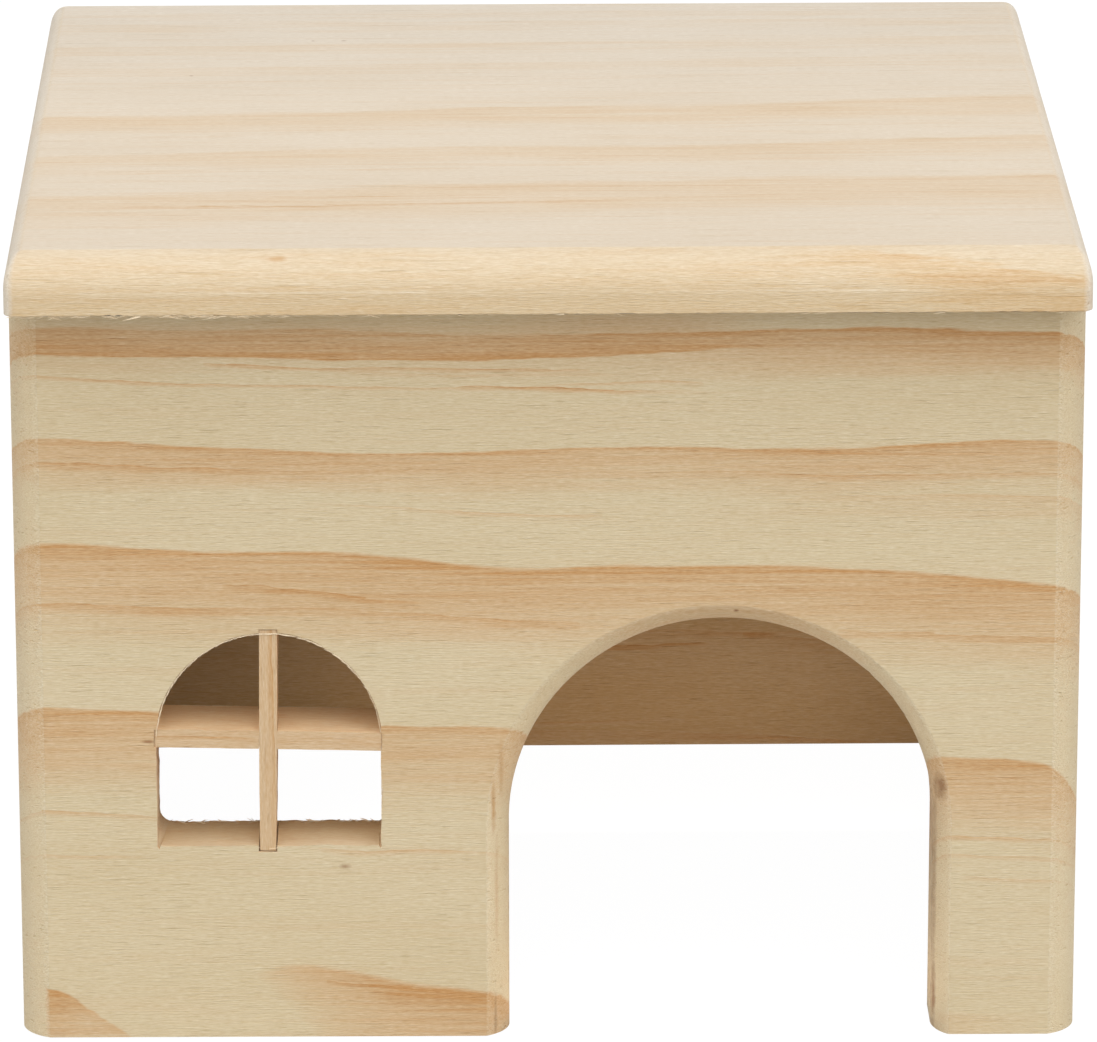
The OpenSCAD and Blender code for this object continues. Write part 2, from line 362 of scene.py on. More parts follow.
# Resin specks and streaks, and the burns that the router bit left on the doorway's jambs
FRONT_MARKS = [
    Mark(26.2, 63.3, 0.4, 0.3, 0.9),
    Mark(-28.8, 25.9, 0.9, 0.4, 0.6),
    Mark(-56.2, 44.6, 1.2, 0.3, 0.75),
    Mark(55.2, 37.0, 0.9, 2.2, 0.75),
    Mark(54.6, 22.0, 0.3, 17.0, 0.45),
    Mark(54.7, 5.0, 0.3, 5.0, 0.75),
    Mark(-7.6, 2.5, 0.25, 4.5, 0.45),
    Mark(-7.8, 34.5, 0.35, 4.5, 0.75, burnt=False),
    Mark(-6.7, 40.0, 0.4, 4.5, 0.55, burnt=False),
    Mark(-7.4, 22.0, 0.3, 9.0, 0.4, burnt=False),
]

# Resin specks on the roof, and a stain at its front crease
ROOF_MARKS = [
    Mark(-51.8, 26.5, 0.35, 0.3, 0.6),
    Mark(-34.0, 47.7, 0.3, 0.3, 0.5),
    Mark(-29.3, 47.7, 0.4, 0.3, 0.5),
    Mark(-37.5, -72.6, 1.6, 0.4, 0.6, burnt=False),
]

# The front board is painted a little darker towards its top, a painted shade under the roof's
# overhang
FRONT_WORK = Worked(
    seed=1.0, routed=(1.09, 1.08, 1.02), fuzz=0.11, drift=(0.95, 0.94, 0.93),
    far_shade_from=0.66, burn=(4.6, 24.4, 34.0), sawn=(-61.0, -20.0, (1.2, 1.1, 1.06)),
    end="#eedab6", bleach=0.18, end_tint=(1.1, 1.1, 1.11), lines=(26.0, 0.5, 0.07),
)
# The roof is painted greyer towards its back, a painted shade where the front lights fall off
ROOF_WORK = Worked(
    seed=4.0, softness=0.12, wobble=0.6, contrast=0.6, routed=(0.98, 0.89, 0.71), fuzz=0.065,
    drift=(0.94, 0.97, 1.02), highlight_ridge=5.2, crease_highlight=0.08, end="#e3d8c7", bleach=0.6, peak=0.85,
    lines=(24.0, 0.9, 0.24), dash=(16.0, 0.8), body=0.62, cut_from=0.5,
)


# ---- Materials ----


class PineNodes:
    """The nodes that one board's pine is made of.

    along, across and into are a point's places in millimetres: along the grain, across it
    and below the show face. local holds all three. cut is 1 where the surface turns away
    from the show face, and end_grain 1 where it looks along the grain.
    """

    def __init__(self, tree, board, worked):
        self.tree = tree
        self.board = board
        self.worked = worked
        coords = add(tree, "TexCoord", out=3)
        spot = add(tree, "VectorMath", coords, named={"Scale": 1 / MM}, operation="SCALE")
        spot = add(tree, "VectorMath", spot, board.start, operation="SUBTRACT")
        self.along, self.across, self.into = (
            add(tree, "VectorMath", spot, axis, out=1, operation="DOT_PRODUCT")
            for axis in (board.grain, board.across, board.depth)
        )
        self.local = add(tree, "CombineXYZ", self.along, self.across, self.into)
        normal = add(tree, "TexCoord", out=1)
        facing = [
            add(tree, "VectorMath", normal, axis, out=1, operation="DOT_PRODUCT")
            for axis in (board.depth, board.grain)
        ]
        square_on, end_on = (add(tree, "Math", turn, operation="ABSOLUTE") for turn in facing)
        # A cut shows from 8 to 15 degrees off the show face, and end grain once the surface
        # crosses the fibres at 9 to 37 degrees
        self.cut = add(tree, "MapRange", square_on, 0.99, 0.965)
        self.end_grain = add(tree, "MapRange", end_on, 0.15, 0.6)

    def total(self, start, *changes):
        """A weighted sum: the start, and each change as far as its share says."""
        for change, share in changes:
            start = add(self.tree, "Math", change, share, start, operation="MULTIPLY_ADD")
        return start

    def away(self, place, middle):
        """How far a place is from that middle, to either side."""
        off = add(self.tree, "Math", place, middle, operation="SUBTRACT")
        return add(self.tree, "Math", off, operation="ABSOLUTE")

    def streaks(self, length, width, swing, shift, detail=2.0):
        """Noise drawn out along the grain, that swings to either side of zero. Patterns with
        different shifts don't repeat each other, and most of the noise lies between a
        quarter and three quarters."""
        stretched = add(
            self.tree, "VectorMath", self.local,
            (1 / length, 1 / width, 1 / width), (shift, self.worked.seed, shift),
            operation="MULTIPLY_ADD",
        )
        blotches = add(
            self.tree, "TexNoise", named={"Vector": stretched, "Scale": 1.0, "Detail": detail}
        )
        return add(self.tree, "MapRange", blotches, 0.25, 0.75, -swing, swing, clamp=False)

    def torn_spots(self, shift=0.0):
        """Short holes where fibres were torn out of end grain, moved a little across it."""
        moved = add(
            self.tree, "VectorMath", self.local,
            (0.8, 2.4, 1.0), (0.0, 2.2 * shift, self.worked.seed),
            operation="MULTIPLY_ADD",
        )
        spots = add(self.tree, "TexNoise", named={"Vector": moved, "Scale": 1.0, "Detail": 3.0})
        found = add(self.tree, "MapRange", spots, 0.63, 0.72)
        return add(self.tree, "Math", found, self.end_grain, operation="MULTIPLY")

    def latewood(self, bands, height):
        """How much latewood lies at each point, from 0 in pale wood to 1 at a ring's edge."""
        tree, board, worked = self.tree, self.board, self.worked
        half = board.reach / 2
        place = add(tree, "MapRange", self.along, -half, half)
        # A curve gives 0 to 1, so its heights are a share of the board's own rise, with room
        # below and above for a ring that leaves the board
        room = 0.1 * board.rise
        lowest = board.low_edge - room
        span = board.rise + 2 * room
        # From a band's sharp edge: up to its peak, down to its body, and out as it fades
        soft = worked.softness
        steps = [
            (0.0, 0.0),
            (soft, worked.peak),
            (soft + 0.13, (worked.peak + worked.body) / 2),
            (0.6, worked.body),
            (1.0, 0.0),
        ]
        late = 0.0
        for band in bands:
            spots = [((g + half) / board.reach, (h - lowest) / span, s) for g, h, s in band.line]
            share = add(tree, "FloatCurve", 1.0, place, curve=[(g, h) for g, h, _ in spots])
            edge = add(tree, "Math", share, span, lowest, operation="MULTIPLY_ADD")
            past = add(tree, "Math", edge, height, operation="SUBTRACT")
            leant = add(
                tree, "Math", past, -band.slant, self.along, operation="MULTIPLY_ADD"
            )
            leant = add(tree, "MapRange", leant, -half, half)
            strength = add(tree, "FloatCurve", 1.0, leant, curve=[(g, s) for g, _, s in spots])
            faded = add(tree, "Math", past, band.fade, operation="DIVIDE")
            profile = add(tree, "ValToRGB", faded, ramp=steps)
            shaded = add(tree, "Math", profile, strength, operation="MULTIPLY", use_clamp=True)
            late = add(tree, "Math", late, shaded, operation="ADD")
        return late

    def rings(self, bands):
        """The latewood with its streaks: level on the show face, and dropping into the
        board. Its edges stray, it is denser in some fibres than in others, and the pale wood
        beside it has faint tan lines."""
        height = self.total(
            self.across,
            (self.into, self.board.ring_slope),
            (self.streaks(34.0, 9.0, 0.5, 3.1, 1.0), 1.0),
            (self.streaks(6.0, 0.7, self.worked.wobble, 7.7), 1.0),
        )
        late = self.latewood(bands, height)
        denser = self.streaks(30.0, 0.45, 0.30, 41.0)
        late = add(self.tree, "Math", late, denser, late, operation="MULTIPLY_ADD")
        return self.total(
            self.streaks(50.0, 2.2, 0.10, 1.3),
            (late, self.worked.contrast),
            (self.streaks(*self.worked.lines, 51.0, 3.0), 1.0),
        )

    def tints(self):
        """Where the board's colour is multiplied, and by what: cut, far across with a painted
        shade, on end grain, and where it was sawn, with painted light there as well as the sawn
        faces' own tone."""
        tree, board, worked = self.tree, self.board, self.worked
        along_cut = add(
            tree, "Math", self.cut, self.end_grain, operation="SUBTRACT", use_clamp=True
        )
        deep_cut = add(tree, "MapRange", self.into, 0.0, 7.0, worked.cut_from, 1.0)
        deep_cut = add(tree, "Math", deep_cut, along_cut, operation="MULTIPLY")
        # Painted shade: the colour turns darker and greyer towards the far edge across the grain
        far_shade = add(
            tree,
            "MapRange",
            self.across,
            board.low_edge + worked.far_shade_from * board.rise,
            board.low_edge + min(1.0, worked.far_shade_from + 0.5) * 0.93 * board.rise,
        )
        found = [
            (deep_cut, worked.routed),
            (far_shade, worked.drift),
            (self.end_grain, worked.end_tint),
        ]
        # Painted light: the window's sawn faces are made lighter and a little redder, partly their
        # own tone and partly light that the window's shade takes away
        if worked.sawn:
            left, right, tint = worked.sawn
            from_left = add(tree, "MapRange", self.along, left, left + 1.0)
            to_right = add(tree, "MapRange", self.along, right, right - 1.0)
            inside = add(tree, "Math", from_left, to_right, operation="MULTIPLY")
            found.append((add(tree, "Math", inside, self.cut, operation="MULTIPLY"), tint))
        return found

    def colour(self, tones, rings):
        """The wood's colour before its fibres are drawn, from its earlywood, latewood and
        ring edge colours."""
        early, late, edge = tones
        wood = add(self.tree, "ValToRGB", rings, ramp=[(0.0, early), (0.45, late), (1.0, edge)])
        for share, tint in self.tints():
            filter_colour = add(
                self.tree,
                "Mix",
                named={0: share, 6: (1, 1, 1, 1), 7: (*tint, 1.0)},
                out=2,
                data_type="RGBA",
            )
            wood = add(self.tree, "VectorMath", wood, filter_colour, operation="MULTIPLY")
        bleached = add(
            self.tree, "Math", self.end_grain, self.worked.bleach, operation="MULTIPLY"
        )
        return add(
            self.tree,
            "Mix",
            named={0: bleached, 6: wood, 7: (*linear(self.worked.end), 1.0)},
            out=2,
            data_type="RGBA",
        )

    def texture(self):
        """How light the fibres, dashes, glints, pits and painted highlights make each point, with
        painted shadow in the pits, and the relief.
        """
        tree, worked = self.tree, self.worked
        # Fibres about 0.2 mm wide, finer ones, broad clouds, resin dashes, bright fibres that
        # glint, the fuzz of a cut, holes where fibres are cut across with painted shadow in them,
        # pale chips beside them, and a painted highlight along the crease
        fibres = self.streaks(4.0, 0.2, 0.062, 5.0, 3.0)
        fine = self.streaks(1.1, 0.13, 0.12, 9.0)
        cloudy = self.streaks(45.0, 14.0, 0.03, 2.0, 1.0)
        dashes = add(tree, "MapRange", self.streaks(*worked.dash, 1.0, 11.0, 1.0), 0.6, 0.95)
        glints = add(tree, "MapRange", self.streaks(3.0, 0.16, 1.0, 17.0, 1.0), 0.55, 0.95)
        fuzz = self.streaks(1.6, 0.14, worked.fuzz, 23.0, 3.0)
        # The pits are real relief, and the darkness they put in the colour is painted shadow
        # inside them
        pits_and_shadow = self.torn_spots()
        # A painted highlight: a pale line on the cut faces just below the crease
        crease_highlight = add(tree, "MapRange", self.into, 0.0, worked.crease_highlight, 1.0, 0.0)
        crease_highlight = add(tree, "Math", crease_highlight, self.cut, operation="MULTIPLY")
        light = self.total(
            1.0,
            (fibres, 1.0),
            (fine, 1.0),
            (cloudy, 1.0),
            (dashes, -0.11),
            (glints, 0.07),
            (self.torn_spots(0.22), 0.1),
            (pits_and_shadow, -0.24),
            (fuzz, self.cut),
            (crease_highlight, 0.06),
        )
        # A painted highlight along the faint line that the bit left, broken up along the grain
        if worked.highlight_ridge is not None:
            ridge_highlight = add(tree, "MapRange", self.away(self.into, worked.highlight_ridge), 0.16, 0.05)
            broken = self.streaks(30.0, 3.0, 1.0, 31.0)
            broken = add(tree, "MapRange", broken, -0.3, 0.6, 0.02, 0.16)
            light = add(tree, "Math", ridge_highlight, broken, light, operation="MULTIPLY_ADD")
        return light, self.total(fibres, (dashes, -0.1), (pits_and_shadow, -0.2), (fuzz, self.cut))

    def stains(self, marks):
        """Where a burn or resin covers the wood, and its colour."""
        tree = self.tree
        colours = bpy.context.scene.house_colours
        if self.worked.burn:
            deep, middle, half_width = self.worked.burn
            on_line = add(tree, "MapRange", self.away(self.into, deep), 0.7, 0.1)
            off_middle = self.away(self.along, middle)
            inside = add(tree, "MapRange", off_middle, half_width, half_width - 1.0)
            patchy = self.streaks(4.0, 5.0, 1.0, 61.0)
            patchy = add(tree, "MapRange", patchy, -0.3, 0.7, 0.0, 0.5)
            for share in (inside, patchy, self.end_grain):
                on_line = add(tree, "Math", on_line, share, operation="MULTIPLY")
            yield on_line, colours.scorch
        for mark in marks:
            flat_place = add(tree, "CombineXYZ", self.along, self.across)
            middle = (mark.along, mark.across, 0.0)
            reach = add(tree, "VectorMath", flat_place, middle, operation="SUBTRACT")
            shape = (1 / mark.half_along, 1 / mark.half_across, 0.0)
            scaled = add(tree, "VectorMath", reach, shape, operation="MULTIPLY")
            far = add(tree, "VectorMath", scaled, out=1, operation="LENGTH")
            ragged = self.streaks(1.2, 1.2, 0.25, 4.0)
            ragged = add(tree, "Math", ragged, 1.0, far, operation="MULTIPLY_ADD")
            inside = add(tree, "MapRange", ragged, 1.2, 0.2, 0.0, mark.strength)
            yield inside, colours.scorch if mark.burnt else colours.ring_edge


def pine(name, board, bands, tones, worked, marks=()):
    """Planed pine. To the eye it is pale, matt and silky, with orange latewood bands that
    have one sharp edge and one that fades, fine fibres along the board, short dark resin
    dashes, and open pits where a rounded edge cuts across the fibres.

    tones are the earlywood, latewood and ring edge colours.
    """
    material, tree = new_material(name)
    nodes = PineNodes(tree, board, worked)
    wood = nodes.colour(tones, nodes.rings(bands))
    light, relief = nodes.texture()
    # A darker fibre is also a redder one, so brightness goes in as a power of the colour
    power = add(tree, "Math", light, -1.6, 2.6, operation="MULTIPLY_ADD")
    shaded = add(tree, "Gamma", wood, power)
    for share, stain in nodes.stains(marks):
        shaded = add(
            tree,
            "Mix",
            named={0: share, 6: shaded, 7: (*stain, 1.0)},
            out=2,
            data_type="RGBA",
        )
    # Fibres stand about 0.03 mm proud, and pits are about 0.1 mm deep
    bumped = add(tree, "Bump", named={"Height": relief, "Distance": 0.35 * MM, "Strength": 1.0})
    surface = add(
        tree,
        "BsdfPrincipled",
        named={"Base Color": shaded, "Roughness": 0.62, "IOR": 1.45, "Normal": bumped},
    )
    add(tree, "OutputMaterial", surface)
    return material


def beech_dowel():
    """Turned beech. To the eye it is pinkish tan and smooth, with short dark flecks."""
    material, tree = new_material("turned_beech")
    coords = add(tree, "TexCoord", out=3)
    place = add(tree, "VectorMath", coords, named={"Scale": 1.5 / MM}, operation="SCALE")
    flecks = add(tree, "TexNoise", named={"Vector": place, "Scale": 1.0, "Detail": 2.0})
    base = list(bpy.context.scene.house_colours.beech)
    wood = add(tree, "ValToRGB", flecks, ramp=[(0.35, [0.8 * c for c in base]), (0.55, base)])
    surface = add(
        tree,
        "BsdfPrincipled",
        named={"Base Color": wood, "Roughness": 0.5, "IOR": 1.45},
    )
    add(tree, "OutputMaterial", surface)
    return material


def torn_fibres():
    """Torn fibres. To the eye they are paler than the board and have no grain of their own."""
    material, tree = new_material("torn_fibres")
    pale = (*bpy.context.scene.house_colours.burr, 1.0)
    surface = add(tree, "BsdfPrincipled", named={"Base Color": pale, "Roughness": 0.7})
    add(tree, "OutputMaterial", surface)
    return material


# ---- Small tools for meshes ----


def new_object(name, bm):
    """A linked object of that mesh, with face normals made to point out."""
    bmesh.ops.recalc_face_normals(bm, faces=bm.faces)
    mesh = bpy.data.meshes.new(name)
    bm.to_mesh(mesh)
    bm.free()
    made = bpy.data.objects.new(name, mesh)
    bpy.context.scene.collection.objects.link(made)
    return made


def loft(rows):
    """A closed skin over rows of points, each row a ring with as many points as the next."""
    bm = bmesh.new()
    rings = [[bm.verts.new(point) for point in row] for row in rows]
    for ring, following in zip(rings, rings[1:]):
        count = len(ring)
        for i in range(count):
            j = (i + 1) % count
            bm.faces.new((ring[i], ring[j], following[j], following[i]))
    bm.faces.new(rings[0])
    bm.faces.new(rings[-1])
    return bm


def clean_copy(name):
    """The mesh of a CAD node, with its doubled points joined and its flat faces whole."""
    bm = bmesh.new()
    bm.from_mesh(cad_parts[name].data)
    bmesh.ops.remove_doubles(bm, verts=bm.verts, dist=1e-6)
    bmesh.ops.dissolve_limit(
        bm, angle_limit=math.radians(0.5), verts=bm.verts, edges=bm.edges
    )
    return bm


def box_cutter(low, high, tilt=0.0):
    """A box between two corners, turned about its own middle in the front face's plane."""
    bm = bmesh.new()
    bmesh.ops.create_cube(bm, size=1.0)
    middle = (Vector(low) + Vector(high)) / 2
    size = Vector(high) - Vector(low)
    place = Matrix.Translation(middle) @ Matrix.Rotation(tilt, 4, "Y")
    bm.transform(place @ Matrix.Diagonal((*size, 1.0)))
    return new_object("cutter", bm)


def bore_cutters(dowels, axis):
    """Two rods to cut the bores of a pair of dowels that lie along that axis, Y or Z."""
    low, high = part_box(dowels)
    radius = (high.x - low.x) / 2
    slack = 0.05 * MM
    lying, upright = Vector((0, 1, 0)), Vector((0, 0, 1))
    along, apart = (lying, upright) if axis == "Y" else (upright, lying)
    middle = (low + high) / 2
    offset = (high - low).dot(apart) / 2 - radius
    cutters = []
    for sign in (-1, 1):
        bm = bmesh.new()
        bmesh.ops.create_cone(
            bm,
            cap_ends=True,
            segments=48,
            radius1=radius + slack,
            radius2=radius + slack,
            depth=(high - low).dot(along) + 1.0 * MM,
        )
        if axis == "Y":
            bm.transform(Matrix.Rotation(math.pi / 2, 4, "X"))
        bm.transform(Matrix.Translation(middle + sign * offset * apart))
        cutters.append(new_object("cutter", bm))
    return cutters


def carve(target, cutters):
    """Takes the cutters out of the target, and deletes them."""
    for cutter in cutters:
        cut = target.modifiers.new("cut", "BOOLEAN")
        cut.operation = "DIFFERENCE"
        cut.solver = "EXACT"
        cut.object = cutter
    bpy.context.view_layer.update()
    seen = target.evaluated_get(bpy.context.evaluated_depsgraph_get())
    carved = bpy.data.meshes.new_from_object(seen)
    target.modifiers.clear()
    target.data = carved
    for cutter in cutters:
        bpy.data.objects.remove(cutter)


def ease(made, width, wanted):
    """Takes the sharpness off the edges that wanted picks, as fine sandpaper does."""
    bm = bmesh.new()
    bm.from_mesh(made.data)
    sharp = [
        e
        for e in bm.edges
        if len(e.link_faces) == 2 and e.calc_face_angle(0.0) > math.radians(50) and wanted(e)
    ]
    bmesh.ops.bevel(
        bm, geom=sharp, offset=width, segments=2, profile=0.5, affect="EDGES",
        clamp_overlap=True,
    )
    bm.to_mesh(made.data)
    bm.free()


def cut_depth(width, bit):
    """How deep a round-over of that width goes, with a bit of that radius."""
    return math.sqrt(bit**2 - (bit - width) ** 2)


def cut_inset(width, bit, down):
    """How far in from the side a round-over lies, at that depth below the show face."""
    up = max(cut_depth(width, bit) - down, 0.0)
    return bit - math.sqrt(bit**2 - up**2)


def round_over(width, sizes, steps=12):
    """Points of a round-over from the side of a board to its show face, each as far in from
    the side and as far below the face as it says. The bit was set shallow, so the curve
    meets the face at a crease, and sandpaper has just broken that crease."""
    bit, broken = sizes.bit, sizes.crease
    depth = cut_depth(width, bit)
    last = math.asin(depth / bit)
    points = [
        (bit * (1 - math.cos(last * k / steps)), depth - bit * math.sin(last * k / steps))
        for k in range(steps)
    ]
    before = (width - broken * math.sin(last), broken * math.cos(last))
    after = (width + broken, 0.0)
    middle = (0.25 * before[0] + 0.5 * width + 0.25 * after[0], 0.25 * before[1])
    return points + [before, middle, after]


def finish(made, material, slot, *nodes):
    """Shades a piece, gives it its finish, and lets it stand for CAD nodes."""
    for face in made.data.polygons:
        face.use_smooth = True
    made.data.set_sharp_from_angle(angle=math.radians(24))
    made.data.materials.clear()
    made.data.materials.append(material)
    weighted = made.modifiers.new("flat faces stay flat", "WEIGHTED_NORMAL")
    weighted.keep_sharp = True
    weighted.weight = 90
    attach(made, "root")
    if nodes:
        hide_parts(*nodes)


def ripple(place, length, seed):
    """Smooth noise from -1 to 1 along a line, with ripples about that long."""
    return noise.noise(Vector((place / length, seed, seed * 0.37)))


def fibre(bm, root, tip, width, sag):
    """A torn wood fibre: a three-sided spike from root to tip that bows by sag."""
    run = (tip - root).normalized()
    side = run.orthogonal().normalized()
    other = run.cross(side)
    rings = []
    for share, thick in ((0.0, 1.0), (0.45, 0.75), (0.8, 0.4)):
        middle = root.lerp(tip, share) + sag * math.sin(math.pi * share)
        rings.append([
            bm.verts.new(
                middle + width * thick * (math.cos(t) * side + math.sin(t) * other)
            )
            for t in (0.0, 2.1, 4.2)
        ])
    point = bm.verts.new(tip)
    for ring, following in zip(rings, rings[1:]):
        for i in range(3):
            j = (i + 1) % 3
            bm.faces.new((ring[i], ring[j], following[j], following[i]))
    for i in range(3):
        bm.faces.new((rings[-1][i], rings[-1][(i + 1) % 3], point))
    bm.faces.new(rings[0])


def board_grain(name, grain, across, depth, ring_slope, band_middle=0.0):
    """The grain of a board, from its CAD box. Band heights count from band_middle, and
    places along the grain from the board's middle."""
    low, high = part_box(name)
    low, high = low / MM, high / MM
    middle = (low + high) / 2
    grain, across, depth = Vector(grain), Vector(across), Vector(depth)
    half = (high - low) / 2
    show = middle - depth * abs(half.dot(depth))
    rise = 2 * abs(half.dot(across))
    return Board(
        grain=grain,
        across=across,
        depth=depth,
        start=show - across * (show.dot(across) - band_middle),
        reach=2 * abs(half.dot(grain)),
        rise=rise,
        low_edge=middle.dot(across) - rise / 2 - band_middle,
        ring_slope=ring_slope,
    )


def wood_tones(*names):
    """The house's colours of those names, as plain lists."""
    return [list(getattr(bpy.context.scene.house_colours, name)) for name in names]


def bar_shift(name, sizes):
    """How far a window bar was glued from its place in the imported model."""
    up = 0.8 if name == "window_bar_cross" else 0.0
    return Vector((-1.3 * sizes.saw_shift, 0, up * sizes.saw_shift))


# ---- The pieces ----


class HAMSTERHOUSE_OT_roof(bpy.types.Operator):
    """Makes the roof board, with its rounded upper edges and its torn lower edge"""

    bl_idname = "hamster_house.roof"
    bl_label = "Roof board"

    def ring(self, half_w, half_d, corner, height, middle):
        """One level of the board's outline, from the front left corner to the right."""
        wide, deep = 2 * (half_w - corner), 2 * (half_d - corner)
        # Each corner, the edge that follows it, and how many steps that edge gets. The front
        # has the most, because its lower edge is torn
        sides = (
            (-1, -1, Vector((wide, 0, 0)), 300),
            (1, -1, Vector((0, deep, 0)), 110),
            (1, 1, Vector((-wide, 0, 0)), 110),
            (-1, 1, Vector((0, -deep, 0)), 110),
        )
        points = []
        turns = 4
        for sx, sy, run, count in sides:
            start = math.atan2(sy, sx) - math.radians(45)
            centre = Vector((sx * (half_w - corner), sy * (half_d - corner), 0))
            for k in range(turns + 1):
                turn = start + math.radians(90) * k / turns
                points.append(centre + corner * Vector((math.cos(turn), math.sin(turn), 0)))
            last = points[-1].copy()
            points.extend(last + run * i / count for i in range(1, count))
        return [Vector((p.x, p.y, height)) + middle for p in points]

    def torn_edge(self, rows, front):
        """Roughens the three lowest rows along the front, most near the left end."""
        for row, share in zip(rows, (1.0, 0.7, 0.25)):
            for point in row:
                if point.y > front + 0.6 * MM:
                    continue
                x = point.x / MM
                torn = 0.35 + 0.65 * math.exp(-(((x + 52) / 14) ** 2))
                nibble = max(0.0, 0.35 + ripple(x, 0.7, 3.0) + 0.8 * ripple(x, 3.1, 8.0))
                point.z += 0.38 * MM * share * torn * nibble
                point.y += 0.22 * MM * share * torn * max(0.0, ripple(x, 1.3, 5.0))

    def fibres(self, front, bottom):
        """Loose fibres that hang from the torn lower edge, most near its left end. Lengths
        in here are millimetres."""
        draw = random.Random(11)
        bm = bmesh.new()
        for _ in range(260):
            near_left = draw.random() < 0.55
            x = draw.gauss(-51, 9) if near_left else draw.uniform(-73, 73)
            x = max(-73.5, min(73.5, x))
            length = draw.uniform(0.5, 1.8) * (1.8 if near_left else 1.0)
            way = draw.choice((-1, 1))
            root = Vector((x, front + draw.uniform(0.14, 0.45), bottom + draw.uniform(0.0, 0.5)))
            drop = draw.uniform(0.02, 0.4) * (1.7 if near_left else 0.7)
            tip = root + Vector((way * length, draw.uniform(0.0, 0.1), -drop))
            sag = Vector((0, 0, draw.uniform(-0.12, 0.10)))
            width = draw.uniform(0.05, 0.13)
            fibre(bm, root * MM, tip * MM, width * MM, sag * MM)
        # One long splinter has curled off, with two short ones beside it
        splinters = ((-47.0, -14.0, 0.75, 0.75), (-57.0, -4.5, 0.5, 0.3), (-50.0, 5.0, 0.35, -0.2))
        for x, length, drop, bow in splinters:
            root = Vector((x, front + 0.15, bottom + 0.25))
            tip = root + Vector((length, 0.0, -drop))
            fibre(bm, root * MM, tip * MM, 0.11 * MM, Vector((0, 0, bow)) * MM)
        return new_object("roof_edge_fibres", bm)

    def levels(self, half_w, half_d, thick, middle, sizes):
        """The board's outlines from its lower edge up to the show face."""
        eased = sizes.eased_edge * 0.6
        rows = [
            self.ring(half_w - eased, half_d - eased, sizes.roof_corner, 0.0, middle),
            self.ring(half_w, half_d, sizes.roof_corner, eased, middle),
            self.ring(half_w, half_d, sizes.roof_corner, 3 * eased, middle),
        ]
        deepest = cut_depth(sizes.roof_arris, sizes.bit)
        side_deep = cut_depth(sizes.roof_side_arris, sizes.bit)
        steps = 22
        for k in range(steps + 1):
            down = deepest * (1 - math.sin(math.radians(90) * k / steps))
            in_y = cut_inset(sizes.roof_arris, sizes.bit, down)
            # Sandpaper took the crease off the side edges, which leaves them like an ellipse
            up = max(0.0, 1 - down / side_deep)
            in_x = (sizes.roof_side_arris + 0.4 * MM) * (1 - math.sqrt(1 - up**2))
            if k == steps:
                in_y, down = in_y + sizes.crease, 0.0
            corner = max(sizes.roof_corner - 0.25 * in_y, 0.4 * MM)
            rows.append(self.ring(half_w - in_x, half_d - in_y, corner, thick - down, middle))
        return rows

    def execute(self, context):
        low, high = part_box("roof")
        half_w, half_d, thick = (high.x - low.x) / 2, (high.y - low.y) / 2, high.z - low.z
        middle = Vector(((low.x + high.x) / 2, (low.y + high.y) / 2, low.z))
        rows = self.levels(half_w, half_d, thick, middle, context.scene.house_sizes)
        self.torn_edge(rows, low.y)
        roof = new_object("roof_board", loft(rows))
        carve(roof, bore_cutters("dowels_roof_left", "Z") + bore_cutters("dowels_roof_right", "Z"))
        planed = pine(
            "planed_pine_roof",
            board_grain("roof", (1, 0, 0), (0, 1, 0), (0, 0, -1), -0.35),
            ROOF_BANDS,
            wood_tones("roof_earlywood", "roof_latewood", "ring_edge"),
            ROOF_WORK,
            ROOF_MARKS,
        )
        finish(roof, planed, "roof_board", "roof")
        finish(self.fibres(low.y / MM, low.z / MM), torn_fibres(), "roof_board")
        return {"FINISHED"}


